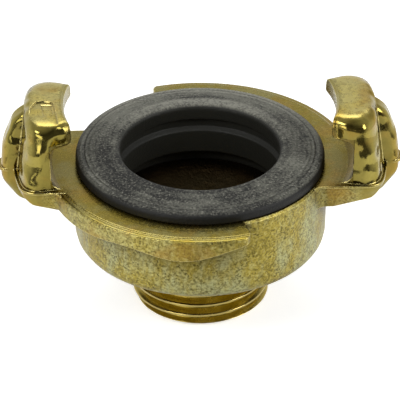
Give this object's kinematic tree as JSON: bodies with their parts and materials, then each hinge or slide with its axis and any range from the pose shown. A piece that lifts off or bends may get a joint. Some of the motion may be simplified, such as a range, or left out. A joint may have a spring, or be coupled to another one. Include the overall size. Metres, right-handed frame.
{
  "type": "claw coupling with male pipe thread",
  "caption": "Brass claw-type hose coupling half with hooked claws, cam ramps, a black rubber sealing ring and a short male-threaded spigot.",
  "frame": {"origin": "middle of the spigot's end face, on the waterway's axis", "axes": "+Z along the waterway towards the coupling face, +X through the middle of one claw"},
  "size_m": [0.0612, 0.0468, 0.0343],
  "materials": {
    "forged_brass": "satin",
    "black_rubber": "matte"
  },
  "bodies": {
    "root": {"coupling_body": "forged_brass", "sealing_ring": "black_rubber"}
  },
  "joints": []
}
